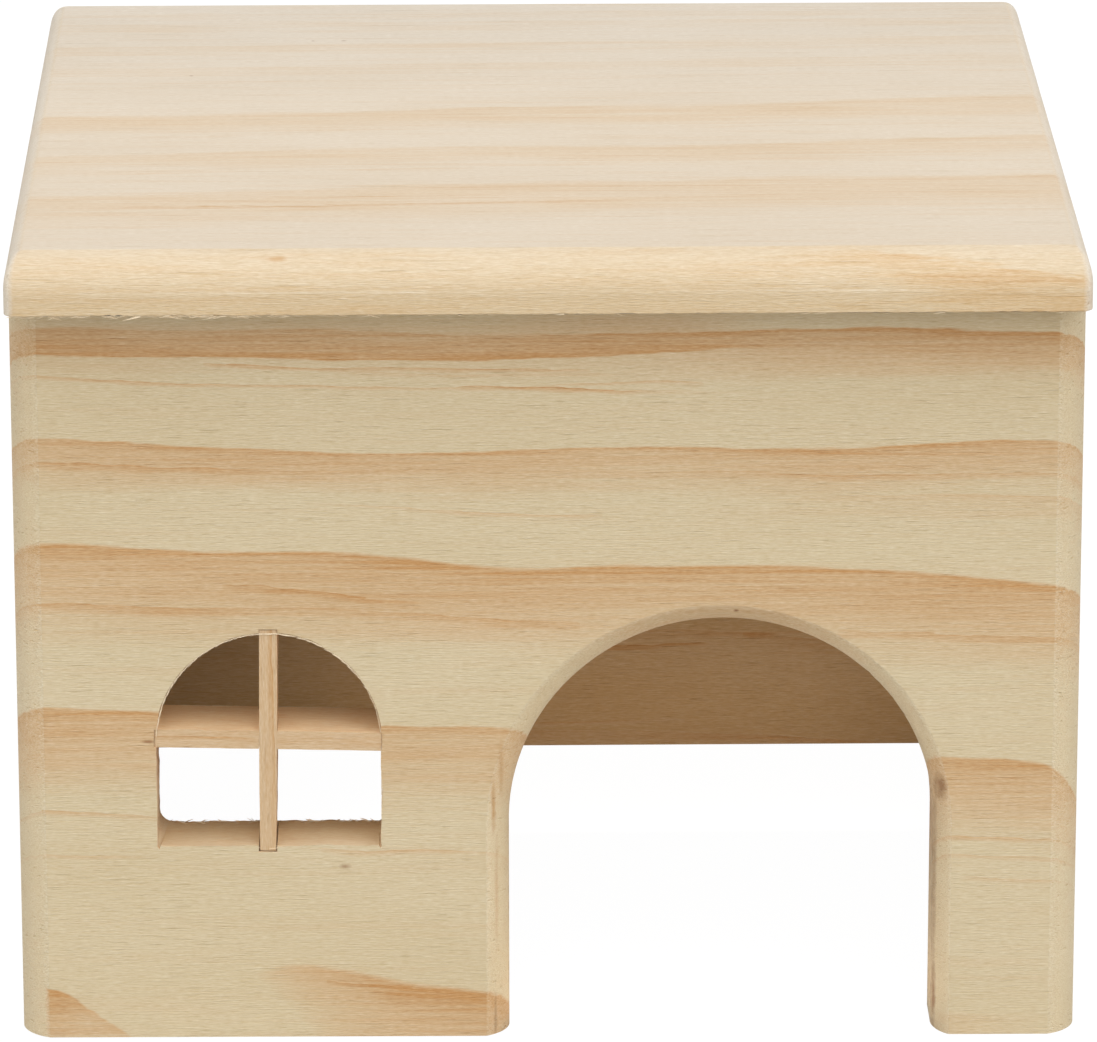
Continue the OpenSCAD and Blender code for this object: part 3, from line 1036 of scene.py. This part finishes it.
class HAMSTERHOUSE_OT_front_wall(bpy.types.Operator):
    """Makes the front board, with its routed doorway and its sawn window"""

    bl_idname = "hamster_house.front_wall"
    bl_label = "Front board"

    def blank(self, low, high, sizes):
        """The board before it is cut: its plan, with both front corners rounded."""
        curve = round_over(sizes.body_arris, sizes)
        plan = [(high.x, high.y), (low.x, high.y)]
        plan += [(low.x + inset, low.y + down) for inset, down in curve]
        plan += [(high.x - inset, low.y + down) for inset, down in reversed(curve)]
        blank = new_object(
            "front_board", loft([[(x, y, z) for x, y in plan] for z in (low.z, high.z)])
        )
        for v in blank.data.vertices:
            if v.co.z < low.z + 0.01 * MM:
                v.co.z += sizes.short_leg * max(0.0, -v.co.x / high.x)
        return blank

    def arch(self, reach, spring_z, below):
        """Points up the left jamb, over the half circle and down the right jamb."""
        jamb_steps, turns = 24, 150
        jamb = [spring_z * k / jamb_steps for k in range(jamb_steps)]
        points = [(-reach, -below)] + [(-reach, z) for z in jamb]
        for k in range(turns + 1):
            turn = math.pi * k / turns
            points.append((-reach * math.cos(turn), spring_z + reach * math.sin(turn)))
        return points + [(reach, z) for z in reversed(jamb)] + [(reach, -below)]

    def doorway(self, door, low, high, sizes):
        """The doorway with its flared mouth, a little torn on the arch's right shoulder."""
        centre_x, spring_z, radius = door
        curve = round_over(sizes.door_arris, sizes)
        beyond = 2 * MM
        levels = [(-beyond, curve[-1][0])]
        levels += [(down, inset) for inset, down in reversed(curve)]
        levels.append((high.y - low.y + beyond, 0.0))
        deepest = curve[0][1]
        rows = []
        for depth, flare in levels:
            row = []
            # The bit rode a little high and to the left of the doorway that it followed
            lean = flare / sizes.door_arris
            shift = Vector((-0.45 * lean, 0, 0.35 * lean)) * MM
            for x, z in self.arch(radius + flare, spring_z, beyond):
                above = max(z - spring_z, 0.0)
                torn = 0.0
                if 0.3 * MM < depth < deepest:
                    angle = math.degrees(math.atan2(z - spring_z, x))
                    shoulder = math.exp(-(((angle - 33) / 14) ** 2))
                    grit = noise.noise(Vector((x / MM / 0.55, z / MM / 0.45, depth / MM)))
                    torn = (0.03 + 0.5 * shoulder) * max(0.0, grit) * MM
                length = math.hypot(x, above) or 1.0
                push = Vector((x / length, 0, above / length)) * torn
                row.append(Vector((centre_x + x, low.y + depth, z)) + push + shift)
            rows.append(row)
        return new_object("cutter", loft(rows))

    def window_outline(self, window, corner, step):
        """Points about a step apart round the window, clockwise from its lower left corner,
        each with whether it lies on the sill. corner is the size of that first corner."""
        _, sill_z, spring_z, radius = window
        tight = 0.4 * MM
        jamb = spring_z - sill_z

        def jamb_points(side, size, places):
            for k in places:
                rise = sill_z + size + (jamb - size) * k * step / jamb
                yield side * radius, rise, False

        def corner_points(side, size, places):
            for k in places:
                turn = math.radians(90) * k / 5
                x = side * (radius - size * (1 - math.cos(turn)))
                yield x, sill_z + size * (1 - math.sin(turn)), False

        jamb_count = int(jamb / step)
        turns = int(math.pi * radius / step)
        count = int(2 * radius / step)
        wide = 2 * radius - corner - tight
        points = list(jamb_points(-1, corner, range(jamb_count)))
        for k in range(turns + 1):
            turn = math.pi * k / turns
            x = -radius * math.cos(turn)
            points.append((x, spring_z + radius * math.sin(turn), False))
        points += jamb_points(1, tight, reversed(range(jamb_count)))
        points += corner_points(1, tight, range(1, 5))
        points += [(radius - tight - wide * k / count, sill_z, True) for k in range(count + 1)]
        points += corner_points(-1, corner, range(4, 0, -1))
        return points

    def window(self, window, low, high, wander):
        """The window as the fretsaw left it, wider at one end of a cut than the other."""
        centre_x, _, spring_z, _ = window
        step = 0.45 * MM
        thick = high.y - low.y
        beyond = 2 * MM
        rows = []
        for depth in (-beyond, 0.0, 3 * MM, 6 * MM, 9 * MM, thick, thick + beyond):
            share = max(0.0, min(1.0, depth / thick))
            corner = (0.4 + 1.5 * share) * MM
            row = []
            for i, (x, z, on_sill) in enumerate(self.window_outline(window, corner, step)):
                place = i * step / MM
                drift = ripple(place, 5.5, 2.0 + share) + 0.45 * ripple(place, 1.1, 7.0)
                grown = wander * (0.2 + drift)
                out = Vector((x, 0, z - spring_z if z > spring_z else 0)).normalized()
                if on_sill:
                    grown += wander * 1.3 * share * ripple(place, 3.3, 13.0)
                    grown -= 0.45 * MM * (1 - share)
                    out = Vector((0, 0, -1))
                # The crown is rough on the face just beside the upright bar
                from_bar = math.degrees(math.atan2(z - spring_z, x)) - 73
                beside_bar = math.exp(-((from_bar / 9) ** 2))
                grown += 0.4 * MM * beside_bar * (1 - share) * max(0.0, ripple(place, 0.7, 21.0))
                row.append(Vector((centre_x + x, low.y + depth, z)) + out * grown)
            rows.append(row)
        return new_object("cutter", loft(rows))

    def notches(self, low, sizes):
        """Boxes that cut the notches for both bars' ends. The cross bar's are a little
        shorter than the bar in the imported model, as the bar itself is here."""
        slack = sizes.notch_slack
        trim = CROSS_TRIM * MM
        cutters = []
        for name, tilt, shorter, below, above in (
            ("window_bar_upright", sizes.upright_tilt, 0.0, 1.2 * slack, 0.5 * slack),
            ("window_bar_cross", sizes.cross_tilt, trim, slack, slack),
        ):
            start, end = (corner + bar_shift(name, sizes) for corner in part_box(name))
            cutters.append(box_cutter(
                (start.x - slack + shorter, low.y - MM, start.z - below),
                (end.x + slack - shorter, end.y + slack, end.z + above),
                tilt,
            ))
        return cutters

    def window_fibres(self, window, low):
        """Fibres that the saw tore along the sill, round the arch and up both jambs."""
        centre_x, sill_z, spring_z, radius = window
        draw = random.Random(5)
        bm = bmesh.new()
        start = Vector((centre_x, low.y, sill_z))
        for _ in range(110):
            x = draw.uniform(-radius / MM + 0.6, radius / MM - 0.6)
            at_back = draw.random() < 0.5
            y = draw.uniform(10.8, 11.9) if at_back else draw.uniform(0.15, 1.2)
            root = Vector((x, y, -0.12))
            length = draw.uniform(0.4, 1.9)
            tip = root + Vector((
                draw.choice((-1, 1)) * length,
                draw.uniform(-0.1, 0.15) if at_back else draw.uniform(-0.1, 0.3),
                draw.uniform(0.15, 0.65 if at_back else 0.35),
            ))
            sag = Vector((0, 0, draw.uniform(0.0, 0.1))) * MM
            fibre(bm, start + root * MM, start + tip * MM, draw.uniform(0.05, 0.13) * MM, sag)
        face = Vector((centre_x, low.y, spring_z))
        on_arch = 150
        for k in range(on_arch):
            turn, width = math.radians(4 + 172 * k / on_arch), 0.045 + 0.04 * draw.random()
            ends = [
                face + (radius - 0.02 * MM) * Vector((math.cos(t), 0, math.sin(t)))
                for t in (turn, turn + math.radians(draw.uniform(1.5, 5.0)))
            ]
            inward = (face - ends[1]).normalized() * draw.uniform(0.0, 0.25) * MM
            depth = Vector((0, draw.uniform(0.02, 0.12), 0)) * MM
            fibre(bm, ends[0] + depth, ends[1] + inward + depth, width * MM, 0.1 * inward)
        on_jamb = 16
        for side in (-1, 1):
            x = centre_x + side * (radius + 0.03 * MM)
            for k in range(on_jamb):
                z = sill_z + (spring_z - sill_z) * (0.04 + 0.9 * k / on_jamb)
                root = Vector((x, low.y + draw.uniform(0.04, 0.12) * MM, z))
                tip = root + Vector((
                    -side * draw.uniform(0.0, 0.06), 0.0, draw.uniform(0.7, 2.0)
                )) * MM
                fibre(bm, root, tip, draw.uniform(0.05, 0.09) * MM, Vector((0, 0, 0)))
        return new_object("window_edge_fibres", bm)

    def execute(self, context):
        sizes = context.scene.house_sizes
        low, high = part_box("front_wall")
        board = self.blank(low, high, sizes)
        window = window_shape(sizes.saw_shift)
        cutters = [
            self.doorway(door_shape(sizes.crown_sag), low, high, sizes),
            self.window(window, low, high, sizes.saw_wander),
            *self.notches(low, sizes),
            *bore_cutters("dowels_front_left", "Y"),
            *bore_cutters("dowels_front_right", "Y"),
        ]
        carve(board, cutters)
        ease(
            board,
            sizes.eased_edge,
            lambda e: all(v.co.z < low.z + sizes.short_leg + 0.01 * MM for v in e.verts)
            or all(v.co.y > high.y - 0.01 * MM and abs(v.co.x) > high.x - MM for v in e.verts),
        )
        planed = pine(
            "planed_pine_front",
            board_grain("front_wall", (1, 0, 0), (0, 0, 1), (0, 1, 0), 0.65),
            FRONT_BANDS,
            wood_tones("earlywood", "latewood", "ring_edge"),
            FRONT_WORK,
            FRONT_MARKS,
        )
        finish(board, planed, "wall_boards", "front_wall")
        finish(self.window_fibres(window, low), torn_fibres(), "wall_boards")
        return {"FINISHED"}


def door_shape(sag):
    """Middle, springing height and radius of the doorway, in metres."""
    low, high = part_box("front_wall")
    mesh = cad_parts["front_wall"].data
    inner = [v.co for v in mesh.vertices if abs(v.co.y - high.y) < 0.01 * MM]
    jambs = [
        p for p in inner if p.z < low.z + 0.01 * MM and abs(p.x) < high.x - 5 * MM
    ]
    left = min(p.x for p in jambs)
    right = max(p.x for p in jambs)
    middle = (left + right) / 2
    radius = (right - left) / 2
    top = max(p.z for p in inner if abs(p.x - middle) < radius and p.z < high.z - 5 * MM)
    return middle, top - sag - radius, radius


def window_shape(shift):
    """Middle, sill height, springing height and radius of the window, in metres, from the
    bars that reach into its notches."""
    upright_low, upright_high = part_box("window_bar_upright")
    cross_low, cross_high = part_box("window_bar_cross")
    notch = 0.45 * MM
    radius = (cross_high.x - cross_low.x) / 2 - notch
    sill = upright_low.z + notch
    crown = upright_high.z - notch
    middle = (cross_low.x + cross_high.x) / 2 - shift
    return middle, sill, crown - radius, radius - 0.1 * MM


class HAMSTERHOUSE_OT_plain_walls(bpy.types.Operator):
    """Makes the back board and the two side boards, with their edges eased"""

    bl_idname = "hamster_house.plain_walls"
    bl_label = "Back and side boards"

    def execute(self, context):
        sizes = context.scene.house_sizes
        boards = (
            # The back board takes the colour with painted warm shade in it
            ("back_wall", (1, 0, 0), (0, -1, 0), "back_wood_warm_shade", PLAIN_BANDS + BACK_STREAKS, 12.0),
            ("left_wall", (0, 1, 0), (1, 0, 0), "earlywood", PLAIN_BANDS, 23.0),
            ("right_wall", (0, 1, 0), (-1, 0, 0), "earlywood", PLAIN_BANDS, 37.0),
        )
        for name, grain, depth, pale, bands, seed in boards:
            board = new_object(name + "_board", clean_copy(name))
            ease(board, sizes.eased_edge, lambda e: e.calc_length() > 4 * MM)
            planed = pine(
                "planed_pine_" + name,
                board_grain(name, grain, (0, 0, 1), depth, 1.0),
                bands,
                wood_tones(pale, "latewood", "ring_edge"),
                Worked(seed),
            )
            finish(board, planed, "wall_boards", name)
        return {"FINISHED"}


class HAMSTERHOUSE_OT_window_bars(bpy.types.Operator):
    """Makes the two sawn slats that cross in the window"""

    bl_idname = "hamster_house.window_bars"
    bl_label = "Window bars"

    def back_fibres(self, low, high, placed):
        """The cross bar's upper back edge, furred by the saw, which catches the light."""
        draw = random.Random(9)
        bm = bmesh.new()
        x = low.x + 1.2 * MM
        while x < high.x - 5 * MM:
            length = draw.uniform(1.5, 4.0) * MM
            root = Vector((x, high.y - 0.05 * MM, high.z + 0.03 * MM))
            tip = root + Vector((length, 0.0, draw.uniform(0.0, 0.08) * MM))
            fibre(bm, placed @ root, placed @ tip, 0.09 * MM, Vector((0, 0, 0)))
            x += 0.7 * length
        finish(new_object("cross_bar_fibres", bm), torn_fibres(), "window_bars")

    def fine_mesh(self, name):
        """A bar's mesh with enough points along it for its sawn faces to waver."""
        bm = clean_copy(name)
        bmesh.ops.triangulate(bm, faces=bm.faces)
        bmesh.ops.subdivide_edges(
            bm,
            edges=[e for e in bm.edges if e.calc_length() > 4 * MM],
            cuts=9,
            use_grid_fill=True,
        )
        bmesh.ops.join_triangles(
            bm, faces=bm.faces, angle_face_threshold=0.1, angle_shape_threshold=3.0
        )
        return bm

    def execute(self, context):
        sizes = context.scene.house_sizes
        slat, edge = wood_tones("slat", "ring_edge")
        streaked = [(a + b) / 2 for a, b in zip(slat, edge)]
        bars = (
            ("window_bar_upright", (0, 0, 1), (1, 0, 0), sizes.upright_tilt, 0.1, 6.0,
             [Band(0.9, [(-16, 0.6, 0.3), (-4, 0.75, 0.5), (2, 0.85, 0.9), (16, 0.65, 0.9)])]),
            ("window_bar_cross", (1, 0, 0), (0, 0, 1), sizes.cross_tilt, CROSS_TRIM, 8.0,
             [Band(0.7, [(-16, 0.9, 0.8), (-4, 0.6, 0.6), (4, 0.2, 0.1), (16, -0.6, 0.5)])]),
        )
        for name, grain, across, tilt, trim, seed, bands in bars:
            bm = self.fine_mesh(name)
            low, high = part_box(name)
            middle = (low + high) / 2
            along, aside = Vector(grain), Vector(across)
            for v in bm.verts:
                side = (v.co - middle).dot(aside)
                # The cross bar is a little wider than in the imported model, and the upright
                # narrows to its foot
                to_foot = max(0.0, (middle.z - v.co.z) / (high.z - middle.z))
                grown = 0.06 * along.x * side - 0.09 * along.z * side * to_foot
                wave = 0.06 * MM * ripple(v.co.dot(along) / MM, 2.4, seed + 4.0 * (side > 0))
                v.co += aside * (grown + wave)
            half = (high - low).dot(along) / 2
            placed = (
                Matrix.Translation(middle + bar_shift(name, sizes))
                @ Matrix.Rotation(tilt, 4, "Y")
                @ Matrix.Scale((half - trim * MM) / half, 4, along)
                @ Matrix.Translation(-middle)
            )
            bm.transform(placed)
            bar = new_object(name + "_slat", bm)
            # The bars' sawn sides and top are painted about a third lighter: painted light on
            # faces that sit in the window's shade
            worked = Worked(
                seed, routed=(1.34, 1.32, 1.28), cut_from=1.0, fuzz=0.14,
                lines=(9.0, 0.5, 0.22),
            )
            sawn = pine(
                "sawn_slat_" + name,
                board_grain(name, grain, across, (0, 1, 0), 0.2, middle.dot(aside) / MM),
                bands,
                [slat, streaked, edge],
                worked,
            )
            finish(bar, sawn, "window_bars", name)
        # The cross bar came last, and its back edge is furred
        self.back_fibres(low, high, placed)
        return {"FINISHED"}


class HAMSTERHOUSE_OT_dowels(bpy.types.Operator):
    """Gives the hidden dowels their beech"""

    bl_idname = "hamster_house.dowels"
    bl_label = "Dowels"

    def execute(self, context):
        beech = beech_dowel()
        for name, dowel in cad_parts.items():
            if name.startswith("dowels_"):
                dowel.data.materials.clear()
                dowel.data.materials.append(beech)
        return {"FINISHED"}


# ---- The studio ----


class StageSettings(bpy.types.PropertyGroup):
    lens: bpy.props.FloatProperty(
        name="Lens", description="Focal length on a 36 mm sensor", default=267.67
    )
    key: bpy.props.FloatProperty(
        name="Key light", description="Strength of the soft light in front", default=0.62
    )
    low_fill: bpy.props.FloatProperty(
        name="Low fill", description="Strength of the light that reaches inside", default=0.2
    )
    side_fill: bpy.props.FloatProperty(
        name="Side fill", description="Strength of the light from either side", default=0.64
    )
    overhead: bpy.props.FloatProperty(
        name="Overhead light", description="Strength of the soft light above", default=1.18
    )
    room: bpy.props.FloatProperty(
        name="Room light", description="Strength of the light from all round", default=0.41
    )
    bounce: bpy.props.FloatProperty(
        name="Warm bounce",
        description="Watts of warm light that the boards throw about inside",
        default=0.0064,
    )


class HAMSTERHOUSE_OT_stage(bpy.types.Operator):
    """Sets up the camera, the pale floor and the soft lights"""

    bl_idname = "hamster_house.stage"
    bl_label = "Studio"

    def camera(self, lens):
        """The photograph's viewpoint: almost square on, from 17 degrees above."""
        data = bpy.data.cameras.new("viewpoint")
        data.sensor_width = 36.0
        data.lens = lens
        data.clip_start = 0.05
        place = Vector((-14.96, -1154.49, 414.33))
        turn, above, roll = (math.radians(angle) for angle in (-0.790, 17.289, -0.077))
        made = bpy.data.objects.new("viewpoint", data)
        made.matrix_world = (
            Matrix.Translation(place * MM)
            @ Matrix.Rotation(turn, 4, "Z")
            @ Matrix.Rotation(math.radians(90) - above, 4, "X")
            @ Matrix.Rotation(roll, 4, "Z")
        )
        bpy.context.scene.collection.objects.link(made)
        bpy.context.scene.camera = made

    def soft_light(self, name, strength, height, side, spread):
        """A distant soft light: height and side are its direction, in degrees."""
        data = bpy.data.lights.new(name, "SUN")
        data.energy = strength
        data.angle = math.radians(spread)
        made = bpy.data.objects.new(name, data)
        made.rotation_euler = (math.radians(90 - height), 0, math.radians(side))
        bpy.context.scene.collection.objects.link(made)

    def warm_bounce(self, name, watts, place, tilt, width, depth):
        """Light that wood and floor throw on the wood inside the house. place, width and
        depth are in millimetres, and tilt turns the light from down towards the back."""
        data = bpy.data.lights.new(name, "AREA")
        data.shape = "RECTANGLE"
        data.size = width * MM
        data.size_y = depth * MM
        data.energy = watts
        data.color = (1.0, 0.78, 0.56)
        made = bpy.data.objects.new(name, data)
        made.location = Vector(place) * MM
        made.rotation_euler = (math.radians(tilt), 0, 0)
        made.visible_camera = False
        bpy.context.scene.collection.objects.link(made)

    def floor(self, colour):
        """A pale floor that looks white to the camera and keeps a faint shadow."""
        bm = bmesh.new()
        bmesh.ops.create_grid(bm, x_segments=1, y_segments=1, size=3.0)
        bm.transform(Matrix.Translation((0, 0, -0.05 * MM)))
        made = new_object("studio_floor", bm)
        material, tree = new_material("pale_matt_paper")
        pale = add(tree, "BsdfDiffuse", (*colour, 1.0))
        shadow = add(tree, "BsdfDiffuse", (0.05, 0.05, 0.05, 1.0))
        glow = add(tree, "Emission", (1, 1, 1, 1), 0.985)
        seen = add(tree, "AddShader", shadow, glow)
        path = add(tree, "LightPath")
        direct = add(
            tree, "Math", path, path.node.outputs["Is Glossy Ray"], operation="MAXIMUM"
        )
        mixed = add(tree, "MixShader", direct, pale, seen)
        add(tree, "OutputMaterial", mixed)
        made.data.materials.append(material)

    def room(self, strength):
        """White walls to the camera and in reflections, and an even dim light."""
        world = bpy.data.worlds.new("white_room")
        world.use_nodes = True
        tree = world.node_tree
        tree.nodes.clear()
        path = add(tree, "LightPath")
        light_path = path.node
        for kind in ("Is Glossy Ray", "Is Transmission Ray"):
            path = add(tree, "Math", path, light_path.outputs[kind], operation="MAXIMUM")
        level = add(tree, "MapRange", path, 0.0, 1.0, strength, 1.0)
        light = add(tree, "Background", (1, 1, 1, 1), level)
        add(tree, "OutputWorld", light)
        bpy.context.scene.world = world

    def execute(self, context):
        scene = context.scene
        settings = scene.house_stage
        self.camera(settings.lens)
        self.soft_light("soft_key", settings.key, 45, 8, 50)
        self.soft_light("low_fill", settings.low_fill, 6, -8, 25)
        self.soft_light("left_fill", 0.8 * settings.side_fill, 30, -60, 50)
        self.soft_light("right_fill", 1.2 * settings.side_fill, 30, 60, 50)
        self.soft_light("soft_overhead", settings.overhead, 75, 0, 60)
        self.warm_bounce("inner_bounce", settings.bounce, (13, 18, 6), 80, 88, 9)
        self.warm_bounce("doorway_bounce", 0.65 * settings.bounce, (24.4, -63, 0.5), 180, 52, 12)
        self.floor(scene.house_colours.floor)
        self.room(settings.room)
        scene.view_settings.view_transform = "Standard"
        return {"FINISHED"}


class HAMSTERHOUSE_PT_panel(bpy.types.Panel):
    """Lists the pieces of the house and what can be changed about them"""

    bl_idname = "HAMSTERHOUSE_PT_panel"
    bl_label = "Hamster House"
    bl_space_type = "VIEW_3D"
    bl_region_type = "UI"
    bl_category = "Hamster House"

    def draw(self, context):
        for operator in OPERATORS:
            self.layout.operator(operator.bl_idname)
        for group in (
            context.scene.house_sizes, context.scene.house_colours, context.scene.house_stage
        ):
            box = self.layout.box()
            for name in group.__annotations__:
                box.prop(group, name)


OPERATORS = (
    HAMSTERHOUSE_OT_stage,
    HAMSTERHOUSE_OT_roof,
    HAMSTERHOUSE_OT_front_wall,
    HAMSTERHOUSE_OT_plain_walls,
    HAMSTERHOUSE_OT_window_bars,
    HAMSTERHOUSE_OT_dowels,
)
GROUPS = {
    "house_sizes": HouseSizes,
    "house_colours": HouseColours,
    "house_stage": StageSettings,
}


def register():
    """Adds the classes and the scene's settings to Blender."""
    for group in GROUPS.values():
        bpy.utils.register_class(group)
    for name, group in GROUPS.items():
        setattr(bpy.types.Scene, name, bpy.props.PointerProperty(type=group))
    for operator in OPERATORS:
        bpy.utils.register_class(operator)
    bpy.utils.register_class(HAMSTERHOUSE_PT_panel)


def unregister():
    """Takes them out again."""
    bpy.utils.unregister_class(HAMSTERHOUSE_PT_panel)
    for operator in reversed(OPERATORS):
        bpy.utils.unregister_class(operator)
    for name in GROUPS:
        delattr(bpy.types.Scene, name)
    for group in GROUPS.values():
        bpy.utils.unregister_class(group)


def main():
    """Makes the whole scene."""
    register()
    bpy.ops.hamster_house.stage()
    bpy.ops.hamster_house.roof()
    bpy.ops.hamster_house.front_wall()
    bpy.ops.hamster_house.plain_walls()
    bpy.ops.hamster_house.window_bars()
    bpy.ops.hamster_house.dowels()


if __name__ == "__main__":
    main()
